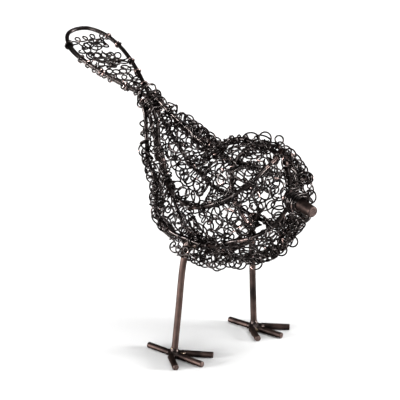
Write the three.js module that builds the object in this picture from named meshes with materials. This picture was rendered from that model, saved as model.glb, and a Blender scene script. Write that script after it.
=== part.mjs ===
// A small standing bird made of bent wire and cut rod.
// Units are millimetres, +Z is up, +X is the way the beak points and +Y is the bird's left.
// Dimensions are measured from the ground between the feet.
// At the end the whole bird is moved so that the origin is under the middle of its box.

import * as THREE from 'three';

// Driving dimensions: gauges of the rods and wires
const WIRE = 3.6;
const LEG_ROD = 5.4;
const TOE_ROD = 5.1;
const BEAK_ROD = 9;
const GAP = 0.3;

// Driving dimensions: the plump body that the frame wires follow, as balls in the mid plane
const BREAST = { x: 36, z: 137, radius: 47.5 };
const BELLY = { x: -14, z: 128.5, radius: 46 };
const UNDERSIDE = { x: 17, z: 119, radius: 36.5 };
const RUMP = { x: -48, z: 157, radius: 22.5 };
const NECK = { x: -84, z: 196, radius: 6 };
const BODY_BLEND = 14;

// Driving dimensions: tail, beak, legs and feet
const TAIL_LENGTH = 109;
const TAIL_HALF_WIDTH = 20;
const TAIL_RISE_DEG = 20;
const TAIL_TURN_DEG = 3.5;
const TAIL_ROLL_DEG = 7;
const TAIL_ROUNDNESS = 1.3;
const TAIL_TANG = 16;
const BEAK_START = { x: 80, z: 149.5 };
const BEAK_LENGTH = 30;
const BEAK_DROP_DEG = 6;
const BEAK_TURN_DEG = 10;
const BEAK_EDGE = 0.7;
// Each foot has its own stance; its leg leans by some way up to LEG_STRAIGHT, then bends in to its top
const FEET = {
  right: { x: -2.5, y: -46, turn: -1, scale: 1.03, lean: { x: 5.3, y: 5.4 }, top: { x: 5, y: -37.6 } },
  left: { x: 5, y: 39, turn: 1.5, scale: 0.97, lean: { x: -2, y: -2 }, top: { x: 2, y: 35.6 } },
};
const LEG_STRAIGHT = 80;
const LEG_TOP = 100;
// Each toe by the way it points, how far beside the leg's axis it lies, and where it starts and ends
const TOES = {
  back: { angle: 188.5, beside: 0, start: LEG_ROD / 2 + 2 * GAP, length: 26.8 },
  middle: { angle: 7.8, beside: 0, start: LEG_ROD / 2 + 2 * GAP, length: 29.6 },
  left: { angle: 39.3, beside: 3, start: 6, length: 31.2 },
  right: { angle: -29.4, beside: -3.6, start: 4, length: 24.5 },
};

const BOX_CENTRE_X = -38.5;
const WIRE_SIDES = 8;
const ROD_SIDES = 12;
const STEP = 8;
const LAY_SPACING = 17;
const LAY_PASSES = 8;
const TAIL_STEPS = 24;
const INNER_LAYER = -(WIRE + GAP);
const RIGHT = -1;
const LEFT = 1;

const blackenedWire = new THREE.MeshStandardMaterial({ color: 0x3a3130, roughness: 0.42, metalness: 1 });
const brownRod = new THREE.MeshStandardMaterial({ color: 0x5e4a42, roughness: 0.4, metalness: 1 });

const bird = new THREE.Group();
bird.position.x = -BOX_CENTRE_X;

function addMesh(name, geometry, material) {
  const mesh = new THREE.Mesh(geometry, material);
  mesh.name = name;
  bird.add(mesh);
  return mesh;
}

function point(x, y, z) {
  return new THREE.Vector3(x, y, z);
}

function centreOf(ball) {
  return point(ball.x, 0, ball.z);
}

// Distance from a point to a round bar whose radius changes evenly from one ball to the next
function taperedBar(place, from, to) {
  const start = centreOf(from);
  const span = centreOf(to).sub(start);
  const along = THREE.MathUtils.clamp(place.clone().sub(start).dot(span) / span.lengthSq(), 0, 1);
  const axisPoint = start.addScaledVector(span, along);
  return place.distanceTo(axisPoint) - THREE.MathUtils.lerp(from.radius, to.radius, along);
}

function smoothUnion(first, second, blend) {
  const share = THREE.MathUtils.clamp(0.5 + (0.5 * (second - first)) / blend, 0, 1);
  return THREE.MathUtils.lerp(second, first, share) - blend * share * (1 - share);
}

function ballDistance(place, ball) {
  return place.distanceTo(centreOf(ball)) - ball.radius;
}

function bodyDistance(place) {
  const rear = smoothUnion(taperedBar(place, NECK, RUMP), taperedBar(place, RUMP, BELLY), BODY_BLEND);
  const front = smoothUnion(ballDistance(place, UNDERSIDE), ballDistance(place, BREAST), BODY_BLEND);
  return smoothUnion(rear, front, BODY_BLEND);
}

function outwardAt(place) {
  const small = 0.05;
  const slope = ['x', 'y', 'z'].map((axis) => {
    const ahead = place.clone();
    const behind = place.clone();
    ahead[axis] += small;
    behind[axis] -= small;
    return bodyDistance(ahead) - bodyDistance(behind);
  });
  return point(...slope).normalize();
}

function layOnBody(place, layer) {
  for (let pass = 0; pass < LAY_PASSES; pass += 1) {
    const height = bodyDistance(place) - layer;
    place.addScaledVector(outwardAt(place), -height);
  }
  return place;
}

// A smooth line through guide points, laid on the body at a few even places and smoothed again
function curveOnBody(guides, layer) {
  const guide = new THREE.CatmullRomCurve3(guides, false, 'centripetal');
  const spans = Math.max(3, Math.round(guide.getLength() / LAY_SPACING));
  const laid = guide.getSpacedPoints(spans).map((place) => layOnBody(place, layer));
  return new THREE.CatmullRomCurve3(laid, false, 'centripetal');
}

// A section with its flats a full gauge apart
function roundSection(gauge, sides) {
  const radius = gauge / 2 / Math.cos(Math.PI / sides);
  const corners = [];
  for (let i = 0; i < sides; i += 1) {
    const angle = ((i + 0.5) / sides) * Math.PI * 2;
    corners.push(new THREE.Vector2(radius * Math.cos(angle), radius * Math.sin(angle)));
  }
  return new THREE.Shape(corners);
}

function barAlong(curve, gauge, sides) {
  const steps = Math.max(2, Math.round(curve.getLength() / STEP));
  return new THREE.ExtrudeGeometry(roundSection(gauge, sides), { steps, extrudePath: curve });
}

function addFrameWire(name, guides, layer = 0) {
  addMesh(name, barAlong(curveOnBody(guides, layer), WIRE, WIRE_SIDES), blackenedWire);
}

// Where a frame wire starts, in the ring of wires around the tail's tang; 0 degrees is on top
function neckPoint(degrees, side = LEFT) {
  const angle = THREE.MathUtils.degToRad(degrees);
  const axis = centreOf(NECK).sub(centreOf(RUMP)).normalize();
  const upward = point(axis.z, 0, -axis.x);
  const place = centreOf(NECK).addScaledVector(upward, NECK.radius * Math.cos(angle));
  place.y += side * NECK.radius * Math.sin(angle);
  return place;
}

function addBackRidge() {
  addFrameWire('back_ridge', [
    neckPoint(0),
    point(-50, 0, 181),
    point(-16, 0, 170),
    point(4, 0, 171),
    point(24, 0, 181),
    point(42, 0, 182),
  ]);
}

function addKeel() {
  addFrameWire('keel', [
    neckPoint(180),
    point(-74, 0, 155),
    point(-52, 0, 116),
    point(-12, 0, 85),
    point(18, 0, 82),
    point(46, 0, 90),
    point(72, 0, 108),
    point(83, 0, 143.5),
  ]);
}

// The right rail crosses the forehead to the far side of the head hoop
function addRightSideRail() {
  addFrameWire('right_side_rail', [
    neckPoint(60, RIGHT),
    point(-59, -12, 183),
    point(-42, -23.5, 165),
    point(-18, -37.5, 145),
    point(9, -44, 136),
    point(34, -46, 141),
    point(58, -33, 155),
    point(65, -9, 172),
    point(55, 16, 178),
  ]);
}

// The left rail stops where the head hoop comes down beside the beak
function addLeftSideRail() {
  addFrameWire('left_side_rail', [
    neckPoint(60, LEFT),
    point(-60, 18, 167),
    point(-34, 32, 150),
    point(0, 41, 143),
    point(30, 46, 144),
    point(54, 42, 149),
    point(68, 30, 155),
    point(74, 19, 157),
  ]);
}

function addBrowWire() {
  addFrameWire('brow_wire', [
    point(61, 14, 174),
    point(72, 6, 166),
    point(80, 1.5, 155.5),
  ]);
}

function addLowerRib(name, side) {
  addFrameWire(name, [
    neckPoint(120, side),
    point(-72, 13 * side, 164),
    point(-48, 26 * side, 130),
    point(-10, 36 * side, 107),
    point(24, 36 * side, 104),
    point(56, 37 * side, 116),
    point(76, 20 * side, 128),
    point(82, 5 * side, 142),
  ]);
}

// The head hoop rises from the right of the breast, crosses the head and comes down beside the beak
function addHeadHoop() {
  addFrameWire('head_hoop', [
    point(71, -28, 121),
    point(63, -37, 142),
    point(50, -33, 164),
    point(41, -12, 181),
    point(48, 14, 181),
    point(62, 25, 169),
    point(74, 18, 155),
    point(79, 8, 148),
  ], INNER_LAYER);
}

function addBellyHoop() {
  addFrameWire('belly_hoop', [
    point(13, 38 * RIGHT, 110),
    point(14, 30 * RIGHT, 98),
    point(15, 0, 86),
    point(14, 30 * LEFT, 98),
    point(13, 38 * LEFT, 110),
  ], INNER_LAYER);
}

// The tail wire runs out of the neck, round a long paddle and back, with its two tangs side by side
function addTailLoop() {
  const turn = new THREE.Euler(
    THREE.MathUtils.degToRad(TAIL_ROLL_DEG),
    THREE.MathUtils.degToRad(TAIL_RISE_DEG),
    THREE.MathUtils.degToRad(-TAIL_TURN_DEG),
    'ZYX',
  );
  const backward = point(-1, 0, 0).applyEuler(turn);
  const sideways = point(0, 1, 0).applyEuler(turn);
  const inward = centreOf(RUMP).sub(centreOf(NECK)).normalize();
  const halfGap = (WIRE + GAP) / 2;
  const peakShare = (1 + TAIL_ROUNDNESS) / (2 + TAIL_ROUNDNESS);
  const peak = 2 * peakShare ** ((1 + TAIL_ROUNDNESS) / 2) * Math.sqrt(1 - peakShare);
  const path = [centreOf(NECK).addScaledVector(inward, TAIL_TANG).setY(halfGap * RIGHT)];
  for (let i = 0; i <= TAIL_STEPS; i += 1) {
    const angle = (i / TAIL_STEPS) * Math.PI * 2;
    const reach = (TAIL_LENGTH * (1 - Math.cos(angle))) / 2;
    const bulge = (Math.sin(angle) * Math.sin(angle / 2) ** TAIL_ROUNDNESS) / peak;
    const side = angle < Math.PI ? RIGHT : LEFT;
    const atTip = i * 2 === TAIL_STEPS;
    const width = atTip ? 0 : halfGap + (TAIL_HALF_WIDTH - halfGap) * Math.abs(bulge);
    path.push(centreOf(NECK).addScaledVector(backward, reach).addScaledVector(sideways, side * width));
  }
  path.push(centreOf(NECK).addScaledVector(inward, TAIL_TANG).setY(halfGap * LEFT));
  const curve = new THREE.CatmullRomCurve3(path, false, 'centripetal');
  addMesh('tail_loop', barAlong(curve, WIRE, WIRE_SIDES), blackenedWire);
}

function addBeak() {
  const radius = BEAK_ROD / 2;
  const profile = [
    new THREE.Vector2(0, 0),
    new THREE.Vector2(radius, 0),
    new THREE.Vector2(radius, BEAK_LENGTH - BEAK_EDGE),
    new THREE.Vector2(radius - BEAK_EDGE, BEAK_LENGTH),
    new THREE.Vector2(0, BEAK_LENGTH),
  ];
  const beak = addMesh('beak', new THREE.LatheGeometry(profile, ROD_SIDES), brownRod);
  beak.rotation.z = -Math.PI / 2;
  const turned = new THREE.Group();
  turned.position.set(BEAK_START.x, 0, BEAK_START.z);
  turned.rotation.order = 'ZYX';
  turned.rotation.y = THREE.MathUtils.degToRad(BEAK_DROP_DEG);
  turned.rotation.z = THREE.MathUtils.degToRad(-BEAK_TURN_DEG);
  turned.add(beak);
  bird.add(turned);
}

function addLeg(name, foot) {
  const base = point(foot.x, foot.y, 0);
  const lean = (share) => base.clone().addScaledVector(point(foot.lean.x, foot.lean.y, LEG_STRAIGHT), share);
  const curve = new THREE.CatmullRomCurve3([
    lean(0).setZ(GAP),
    lean(0.5),
    lean(1),
    point(foot.top.x, foot.top.y, LEG_TOP),
  ], false, 'centripetal');
  addMesh(`${name}_leg`, barAlong(curve, LEG_ROD, ROD_SIDES), brownRod);
}

// Each toe is a straight cut rod lying flat on the ground, starting clear of the leg and its neighbours
function addFoot(name, foot) {
  const halfSide = Math.PI / WIRE_SIDES;
  const radius = TOE_ROD / 2 / Math.cos(halfSide);
  for (const [toeName, toe] of Object.entries(TOES)) {
    const length = toe.length * foot.scale - toe.start;
    const rod = new THREE.CylinderGeometry(radius, radius, length, WIRE_SIDES, 1, false, halfSide);
    rod.rotateZ(-Math.PI / 2);
    rod.translate(toe.start + length / 2, toe.beside, 0);
    const mesh = addMesh(`${name}_foot_${toeName}_toe`, rod, brownRod);
    mesh.position.set(foot.x, foot.y, TOE_ROD / 2);
    mesh.rotation.z = THREE.MathUtils.degToRad(toe.angle + foot.turn);
  }
}

addBackRidge();
addKeel();
addRightSideRail();
addLeftSideRail();
addBrowWire();
addLowerRib('right_lower_rib', RIGHT);
addLowerRib('left_lower_rib', LEFT);
addHeadHoop();
addBellyHoop();
addTailLoop();
addBeak();
for (const [name, foot] of Object.entries(FEET)) {
  addLeg(name, foot);
  addFoot(name, foot);
}

export default bird;
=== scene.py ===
import math
from collections import namedtuple

import bpy
import numpy as np
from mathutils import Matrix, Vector


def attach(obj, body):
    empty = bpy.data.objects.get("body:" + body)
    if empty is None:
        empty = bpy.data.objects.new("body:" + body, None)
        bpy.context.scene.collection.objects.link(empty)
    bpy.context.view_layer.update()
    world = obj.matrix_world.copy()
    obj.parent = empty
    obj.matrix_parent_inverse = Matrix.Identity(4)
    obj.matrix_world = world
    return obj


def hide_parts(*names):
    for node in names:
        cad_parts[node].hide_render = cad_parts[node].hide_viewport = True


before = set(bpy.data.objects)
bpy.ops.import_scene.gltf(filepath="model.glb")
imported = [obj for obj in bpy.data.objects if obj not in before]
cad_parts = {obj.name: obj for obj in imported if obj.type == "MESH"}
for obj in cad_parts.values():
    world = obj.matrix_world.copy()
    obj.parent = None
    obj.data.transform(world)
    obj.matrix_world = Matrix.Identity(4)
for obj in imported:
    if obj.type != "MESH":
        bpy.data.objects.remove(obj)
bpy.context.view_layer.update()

# A standing bird of bent wire and cut rod, covered in thin curled wire.
# Sizes and places are millimetres from the ground between the feet, as in the solids,
# with +X the way the beak points, +Y the bird's left and +Z up.
# The frame's origin is under the middle of the bird's box, so pieces are moved by BOX_SHIFT.
MM = 0.001
BOX_SHIFT = np.array((38.5, 0.0, 0.0))
RIGHT = -1
LEFT = 1
UP = np.array((0.0, 0.0, 1.0))

# Chance values are drawn under the seed and a key for each kind of work
SEED = 7
BEND_DRAWS = 100
FRAME_DRAWS = 200
FOOT_DRAWS = 300
FOOT_WELD_DRAWS = 350
BEAK_WELD_DRAWS = 360
LEG_WELD_DRAWS = 370
WINDING_DRAWS = 400
WINDING_KEYS = 10
TURN_DRAWS = 450
PANEL_DRAWS = 500
CHAIN_DRAWS = 520
LOOP_DRAWS = 550
TAIL_CURL_DRAWS = 600
TAIL_LINING_DRAWS = 690
TAIL_TURN_DRAWS = 700
NECK_DRAWS = 800
NECK_TURN_DRAWS = 810

# Gauges
FRAME_WIRE = 3.6
LEG_ROD = 5.4
TOE_ROD = 5.1
BEAK_ROD = 9.0
THIN_WIRE = 1.35
GAP = 0.3

# The plump body that the frame wires follow, as balls in the mid plane
Ball = namedtuple("Ball", "x z radius")
BREAST = Ball(36.0, 137.0, 47.5)
BELLY = Ball(-14.0, 128.5, 46.0)
UNDERSIDE = Ball(17.0, 119.0, 36.5)
RUMP = Ball(-48.0, 157.0, 22.5)
NECK = Ball(-84.0, 196.0, 6.0)
BODY_BLEND = 14.0
INNER_LAYER = -(FRAME_WIRE + GAP)
LAY_SPACING = 17.0
LAY_PASSES = 8

# Tail, beak, legs and feet
TAIL_LENGTH = 109.0
TAIL_HALF_WIDTH = 20.0
TAIL_RISE_DEG = 20.0
TAIL_TURN_DEG = 3.5
TAIL_ROLL_DEG = 7.0
TAIL_ROUNDNESS = 1.3
TAIL_TANG = 16.0
TAIL_STEPS = 24
BEAK_START = np.array((80.0, 0.0, 149.5))
BEAK_LENGTH = 30.0
BEAK_DROP_DEG = 6.0
BEAK_TURN_DEG = 10.0
LEG_STRAIGHT = 80.0
LEG_TOP = 100.0
Foot = namedtuple("Foot", "x y turn scale lean_x lean_y top_x top_y tone")
# The last column is painted light and shade: a light patina on the right leg stands for its lit side, a
# dark one on the left leg for the body's shade
FEET = {
    "right": Foot(-2.5, -46.0, -1.0, 1.03, 5.3, 5.4, 5.0, -37.6, 0.85),
    "left": Foot(5.0, 39.0, 1.5, 0.97, -2.0, -2.0, 2.0, 35.6, 0.25),
}
Toe = namedtuple("Toe", "angle beside start length")
TOES = {
    "back": Toe(188.5, 0.0, LEG_ROD / 2 + 2 * GAP, 26.8),
    "middle": Toe(7.8, 0.0, LEG_ROD / 2 + 2 * GAP, 29.6),
    "left": Toe(39.3, 3.0, 6.0, 31.2),
    "right": Toe(-29.4, -3.6, 4.0, 24.5),
}

# Fineness of the meshes
FRAME_STEP = 1.6
FRAME_SIDES = 14
ROD_STEP = 2.0
ROD_SIDES = 20
BEAK_STEP = 1.5
BEAK_SIDES = 28
THIN_STEP = 1.0
THIN_SIDES = 8
GUIDE_STEP = 0.3
SPLINE_CUTS = 24
SLOPE_STEP = 0.05

# How far the rims of cut faces are rounded
FRAME_RIM = 0.35
LEG_RIM = 0.5
TOE_RIM = 0.6
BEAK_RIM = 0.9

# How bare the copper is over the last two steps of a cut rod
TOE_END_WEAR = (0.1, 0.35)
BEAK_END_WEAR = (0.05, 0.35)

# The share of a thin wire's length that shows copper
WORN_LITTLE = 0.06
WORN_SOME = 0.1
WORN_TURNS = 0.16
WORN_NECK = 0.3
WORN_NECK_TURN = 0.4
# Half of each tail turn shows copper: partly wear, partly a painted highlight on the turns that cross the
# tail's edges
WORN_TAIL_HIGHLIGHT = 0.5

# Lengths of wire over which its loops change their size, pitch, lean, bulge and slant
CURL_SIZE_DRIFT = 4.0
WRAP_SIZE_DRIFT = 3.0
PITCH_DRIFT = 6.0
LEAN_DRIFT = 9.0
BULGE_DRIFT = 12.0
SLANT_DRIFT = 8.0

# How far loose turns slant along their wire, and how soon copper comes and goes on thin wire
SLANT_REACH = 4.0
WEAR_STEPS = 5
WEAR_SOFTNESS = 0.3


def draws(*key):
    return np.random.default_rng((SEED, *key))


# Vectors and curves

def unit(vectors):
    lengths = np.linalg.norm(vectors, axis=-1, keepdims=True)
    return vectors / np.maximum(lengths, 1e-9)


def place(ball):
    return np.array((ball.x, 0.0, ball.z))


def even_steps(path, step):
    """The same path with points about one step apart."""
    lengths = np.linalg.norm(np.diff(path, axis=0), axis=1)
    along = np.concatenate(([0.0], np.cumsum(lengths)))
    count = max(3, int(round(along[-1] / step)) + 1)
    wanted = np.linspace(0.0, along[-1], count)
    return np.stack([np.interp(wanted, along, path[:, axis]) for axis in range(3)], axis=1)


def spline(guides, step):
    """A centripetal curve through the guide points, in even steps."""
    guides = np.asarray(guides, float)
    first = 2 * guides[0] - guides[1]
    last = 2 * guides[-1] - guides[-2]
    points = np.vstack((first, guides, last))
    t = np.linspace(0.0, 1.0, SPLINE_CUTS, endpoint=False)[:, None]
    stretches = []
    for a, b, c, d in zip(points[:-3], points[1:-2], points[2:-1], points[3:]):
        ab, bc, cd = (math.sqrt(np.linalg.norm(q - p)) for p, q in ((a, b), (b, c), (c, d)))
        leave = c - b + bc * ((b - a) / ab - (c - a) / (ab + bc))
        arrive = c - b + bc * ((d - c) / cd - (d - b) / (bc + cd))
        cubic = 2 * b - 2 * c + leave + arrive
        square = 3 * c - 3 * b - 2 * leave - arrive
        stretches.append(b + leave * t + square * t ** 2 + cubic * t ** 3)
    return even_steps(np.vstack(stretches + [guides[-1:]]), step)


def tangents(path):
    return unit(np.gradient(path, axis=0))


def cross_directions(path):
    """Two directions across the path at each point that follow it without spinning."""
    along = tangents(path)
    side = np.zeros_like(path)
    helper = np.eye(3)[np.argmin(np.abs(along[0]))]
    previous = np.cross(along[0], helper)
    for i, direction in enumerate(along):
        previous = previous - direction * (previous @ direction)
        previous = previous / np.linalg.norm(previous)
        side[i] = previous
    return side, np.cross(along, side)


def drifting(rng, count, spacing, low, high):
    """Numbers that drift smoothly between low and high, with a new goal every so many places."""
    goals = rng.uniform(low, high, int(count / spacing) + 3)
    where = np.arange(count) / spacing + rng.uniform(0.0, 1.0)
    index = where.astype(int)
    ease = where - index
    ease = ease * ease * (3 - 2 * ease)
    return goals[index] * (1 - ease) + goals[index + 1] * ease


# The body's surface

def ball_distance(places, ball):
    return np.linalg.norm(places - place(ball), axis=-1) - ball.radius


def bar_distance(places, start, end):
    base = place(start)
    span = place(end) - base
    along = np.clip((places - base) @ span / (span @ span), 0.0, 1.0)
    axis = base + along[..., None] * span
    radius = start.radius + (end.radius - start.radius) * along
    return np.linalg.norm(places - axis, axis=-1) - radius


def smooth_union(first, second, blend=BODY_BLEND):
    share = np.clip(0.5 + 0.5 * (second - first) / blend, 0.0, 1.0)
    return second + (first - second) * share - blend * share * (1 - share)


def body_distance(places):
    rear = smooth_union(bar_distance(places, NECK, RUMP), bar_distance(places, RUMP, BELLY))
    front = smooth_union(ball_distance(places, UNDERSIDE), ball_distance(places, BREAST))
    return smooth_union(rear, front)


def outward_at(places):
    small = SLOPE_STEP * np.eye(3)
    slopes = [body_distance(places + step) - body_distance(places - step) for step in small]
    return unit(np.stack(slopes, axis=-1))


def lay_on_body(places, layer=0.0, passes=LAY_PASSES):
    for _ in range(passes):
        height = body_distance(places) - layer
        places = places - outward_at(places) * height[..., None]
    return places


def curve_on_body(guides, layer):
    """A smooth line through guide points, laid on the body at even places and smoothed again."""
    laid = lay_on_body(spline(guides, LAY_SPACING), layer)
    return spline(laid, FRAME_STEP)


# Paths of the frame wires and rods

def neck_point(degrees, side=LEFT):
    angle = math.radians(degrees)
    axis = unit(place(NECK) - place(RUMP))
    upward = np.array((axis[2], 0.0, -axis[0]))
    sideways = np.array((0.0, float(side), 0.0))
    return place(NECK) + NECK.radius * (upward * math.cos(angle) + sideways * math.sin(angle))


def lower_rib_guides(side):
    return [
        neck_point(120, side),
        (-72, 13 * side, 164),
        (-48, 26 * side, 130),
        (-10, 36 * side, 107),
        (24, 36 * side, 104),
        (56, 37 * side, 116),
        (76, 20 * side, 128),
        (82, 5 * side, 142),
    ]


FRAME_GUIDES = {
    "back_ridge": ([
        neck_point(0), (-50, 0, 181), (-16, 0, 170), (4, 0, 171), (24, 0, 181), (42, 0, 182),
    ], 0.0),
    "keel": ([
        neck_point(180), (-74, 0, 155), (-52, 0, 116), (-12, 0, 85), (18, 0, 82), (46, 0, 90),
        (72, 0, 108), (83, 0, 143.5),
    ], 0.0),
    "right_side_rail": ([
        neck_point(60, RIGHT), (-59, -12, 183), (-42, -23.5, 165), (-18, -37.5, 145), (9, -44, 136),
        (34, -46, 141), (58, -33, 155), (65, -9, 172), (55, 16, 178),
    ], 0.0),
    "left_side_rail": ([
        neck_point(60, LEFT), (-60, 18, 167), (-34, 32, 150), (0, 41, 143), (30, 46, 144),
        (54, 42, 149), (68, 30, 155), (74, 19, 157),
    ], 0.0),
    "brow_wire": ([(61, 14, 174), (72, 6, 166), (80, 1.5, 155.5)], 0.0),
    "right_lower_rib": (lower_rib_guides(RIGHT), 0.0),
    "left_lower_rib": (lower_rib_guides(LEFT), 0.0),
    "head_hoop": ([
        (71, -28, 121), (63, -37, 142), (50, -33, 164), (41, -12, 181), (48, 14, 181),
        (62, 25, 169), (74, 18, 155), (79, 8, 148),
    ], INNER_LAYER),
    "belly_hoop": ([
        (13, -38, 110), (14, -30, 98), (15, 0, 86), (14, 30, 98), (13, 38, 110),
    ], INNER_LAYER),
}


def turn_matrix(roll, rise, turn):
    """Roll about X, then rise about Y, then turn about Z, in degrees."""
    (cr, sr), (cp, sp), (ct, st) = (
        (math.cos(math.radians(a)), math.sin(math.radians(a))) for a in (roll, rise, turn)
    )
    about_x = np.array(((1, 0, 0), (0, cr, -sr), (0, sr, cr)))
    about_y = np.array(((cp, 0, sp), (0, 1, 0), (-sp, 0, cp)))
    about_z = np.array(((ct, -st, 0), (st, ct, 0), (0, 0, 1)))
    return about_z @ about_y @ about_x


TAIL_AXES = turn_matrix(TAIL_ROLL_DEG, TAIL_RISE_DEG, -TAIL_TURN_DEG)
TAIL_BACKWARD = -TAIL_AXES[:, 0]
TAIL_SIDEWAYS = TAIL_AXES[:, 1]
TAIL_UPWARD = TAIL_AXES[:, 2]


def tail_point(reach, across, lift=0.0):
    """A place in the tail: along it from the neck, across it to the bird's left, and above it."""
    offset = reach * TAIL_BACKWARD + across * TAIL_SIDEWAYS + lift * TAIL_UPWARD
    return place(NECK) + offset


def tail_half_width(angle):
    """Half the tail's width, at an angle from 0 at the neck to pi at the tip and on round."""
    half_gap = (FRAME_WIRE + GAP) / 2
    peak_share = (1 + TAIL_ROUNDNESS) / (2 + TAIL_ROUNDNESS)
    peak = 2 * peak_share ** ((1 + TAIL_ROUNDNESS) / 2) * math.sqrt(1 - peak_share)
    bulge = abs(math.sin(angle)) * math.sin(angle / 2) ** TAIL_ROUNDNESS / peak
    return half_gap + (TAIL_HALF_WIDTH - half_gap) * bulge


def tail_path():
    inward = unit(place(RUMP) - place(NECK))
    tang = place(NECK) + inward * TAIL_TANG
    half_gap = np.array((0.0, (FRAME_WIRE + GAP) / 2, 0.0))
    path = [tang + half_gap * RIGHT]
    for i in range(TAIL_STEPS + 1):
        angle = 2 * math.pi * i / TAIL_STEPS
        side = RIGHT if angle < math.pi else LEFT
        reach = TAIL_LENGTH * (1 - math.cos(angle)) / 2
        at_tip = 2 * i == TAIL_STEPS
        path.append(tail_point(reach, 0.0 if at_tip else side * tail_half_width(angle)))
    path.append(tang + half_gap * LEFT)
    return spline(path, FRAME_STEP)


def beak_path():
    drop, turn = math.radians(BEAK_DROP_DEG), math.radians(BEAK_TURN_DEG)
    direction = np.array((
        math.cos(drop) * math.cos(turn),
        -math.cos(drop) * math.sin(turn),
        -math.sin(drop),
    ))
    return even_steps(np.array((BEAK_START, BEAK_START + BEAK_LENGTH * direction)), BEAK_STEP)


def leg_path(foot):
    base = np.array((foot.x, foot.y, 0.0))
    lean = np.array((foot.lean_x, foot.lean_y, LEG_STRAIGHT))
    guides = [
        base + GAP * UP,
        base + lean * 0.5,
        base + lean,
        np.array((foot.top_x, foot.top_y, LEG_TOP)),
    ]
    return spline(guides, ROD_STEP)


def toe_path(foot, toe):
    turn = math.radians(toe.angle + foot.turn)
    ahead = np.array((math.cos(turn), math.sin(turn), 0.0))
    aside = np.array((-math.sin(turn), math.cos(turn), 0.0))
    base = np.array((foot.x, foot.y, TOE_ROD / 2)) + aside * toe.beside
    start = base + ahead * toe.start
    end = base + ahead * toe.length * foot.scale
    return even_steps(np.array((start, end)), ROD_STEP)


# Tubes: rings of vertices along a path, with closed ends

Tube = namedtuple("Tube", "vertices sides wear tone")
RIM_BENDS = np.array((0.0, 0.12, 0.4, 1.0))


def rounded_rims(path, radius, edge):
    """Adds rings near both ends, so that the rims of the cut faces are rounded."""
    inset = edge * (1 - np.sqrt(1 - (1 - RIM_BENDS) ** 2))
    begin = unit(path[1] - path[0])
    end = unit(path[-2] - path[-1])
    first = path[0] + begin * edge * RIM_BENDS[:, None]
    last = path[-1] + end * edge * RIM_BENDS[::-1, None]
    middle = np.full(len(path) - 2, radius)
    radii = np.concatenate((radius - inset, middle, radius - inset[::-1]))
    return np.vstack((first, path[1:-1], last)), radii


def tube(path, radius, sides, edge=0.0, wear=0.0, tone=0.5):
    """A closed round bar along a path. Its wear values bare the copper, as real wear and as a painted
    highlight on rubbed frame stretches and tail turns; its tone shades the patina, as painted light and
    shade on the legs.
    """
    radii = np.full(len(path), float(radius))
    if edge:
        path, radii = rounded_rims(path, radius, edge)
    side, other = cross_directions(path)
    turns = 2 * math.pi * np.arange(sides) / sides
    ring = np.cos(turns)[:, None] * side[:, None] + np.sin(turns)[:, None] * other[:, None]
    vertices = path[:, None] + radii[:, None, None] * ring
    wear = np.atleast_1d(wear)
    worn_and_lit = np.interp(np.linspace(0, 1, len(path)), np.linspace(0, 1, len(wear)), wear)
    return Tube(vertices, sides, np.repeat(worn_and_lit, sides), tone)


def tube_faces(rings, sides, first):
    """Quads between neighbouring rings, and one flat face at each end."""
    ring = np.arange(rings - 1)[:, None] * sides + first
    here = np.arange(sides)[None]
    ahead = (here + 1) % sides
    quads = np.stack((ring + here, ring + ahead, ring + sides + ahead, ring + sides + here), axis=-1)
    start = list(range(first, first + sides))[::-1]
    finish = list(range(first + (rings - 1) * sides, first + rings * sides))
    return quads.reshape(-1, 4).tolist(), [start, finish]


def add_float(mesh, name, values):
    mesh.attributes.new(name, "FLOAT", "POINT").data.foreach_set("value", np.asarray(values, np.float32))


def mesh_piece(name, vertices, faces, smooth, wear, tone, material, nodes=()):
    mesh = bpy.data.meshes.new(name)
    mesh.from_pydata(((vertices + BOX_SHIFT) * MM).tolist(), [], faces)
    mesh.polygons.foreach_set("use_smooth", smooth)
    add_float(mesh, "wear", wear)
    add_float(mesh, "tone", tone)
    mesh.update()
    mesh.materials.append(material)
    piece = bpy.data.objects.new(name, mesh)
    bpy.context.scene.collection.objects.link(piece)
    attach(piece, "root")
    if nodes:
        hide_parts(*nodes)


def tubes_piece(name, tubes, material, nodes=()):
    """One mesh of several closed bars."""
    vertices, faces, smooth, wear, tone = [], [], [], [], []
    count = 0
    for part in tubes:
        rings = len(part.vertices)
        quads, caps = tube_faces(rings, part.sides, count)
        vertices.append(part.vertices.reshape(-1, 3))
        faces += quads + caps
        smooth += [True] * len(quads) + [False] * len(caps)
        wear.append(part.wear)
        tone.append(np.full(rings * part.sides, part.tone))
        count += rings * part.sides
    wear, tone = np.concatenate(wear), np.concatenate(tone)
    mesh_piece(name, np.vstack(vertices), faces, smooth, wear, tone, material, nodes)


# Thin wire

def thin(path, rng, wear_and_highlight_share=WORN_LITTLE):
    """Thin wire along a path, with copper showing here and there."""
    path = even_steps(path, THIN_STEP)
    spots = drifting(rng, len(path), WEAR_STEPS, 0.0, 1.0)
    wear = np.clip((spots - (1 - wear_and_highlight_share)) / (WEAR_SOFTNESS * wear_and_highlight_share), 0.0, 1.0)
    return tube(path, THIN_WIRE / 2, THIN_SIDES, wear=wear, tone=rng.uniform(0.0, 1.0))


def curl(path, outward, rng, size, pitch, lean, squeeze=1.0):
    """Uneven loops along a path, like joined e's; lean tips them out, squeeze makes them narrow."""
    count = len(path)
    along = tangents(path)
    across = unit(np.cross(outward, along))
    reach = drifting(rng, count, CURL_SIZE_DRIFT / GUIDE_STEP, *size)[:, None]
    spacing = drifting(rng, count, PITCH_DRIFT / GUIDE_STEP, *pitch)
    turn = 2 * math.pi * np.cumsum(GUIDE_STEP / spacing)
    turn = (turn + rng.uniform(0, 2 * math.pi))[:, None]
    tip = np.radians(drifting(rng, count, LEAN_DRIFT / GUIDE_STEP, *lean))[:, None]
    plane = across * np.cos(tip) + outward * np.sin(tip)
    return path + reach * (squeeze * np.cos(turn) * along + np.sin(turn) * plane)


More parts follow.
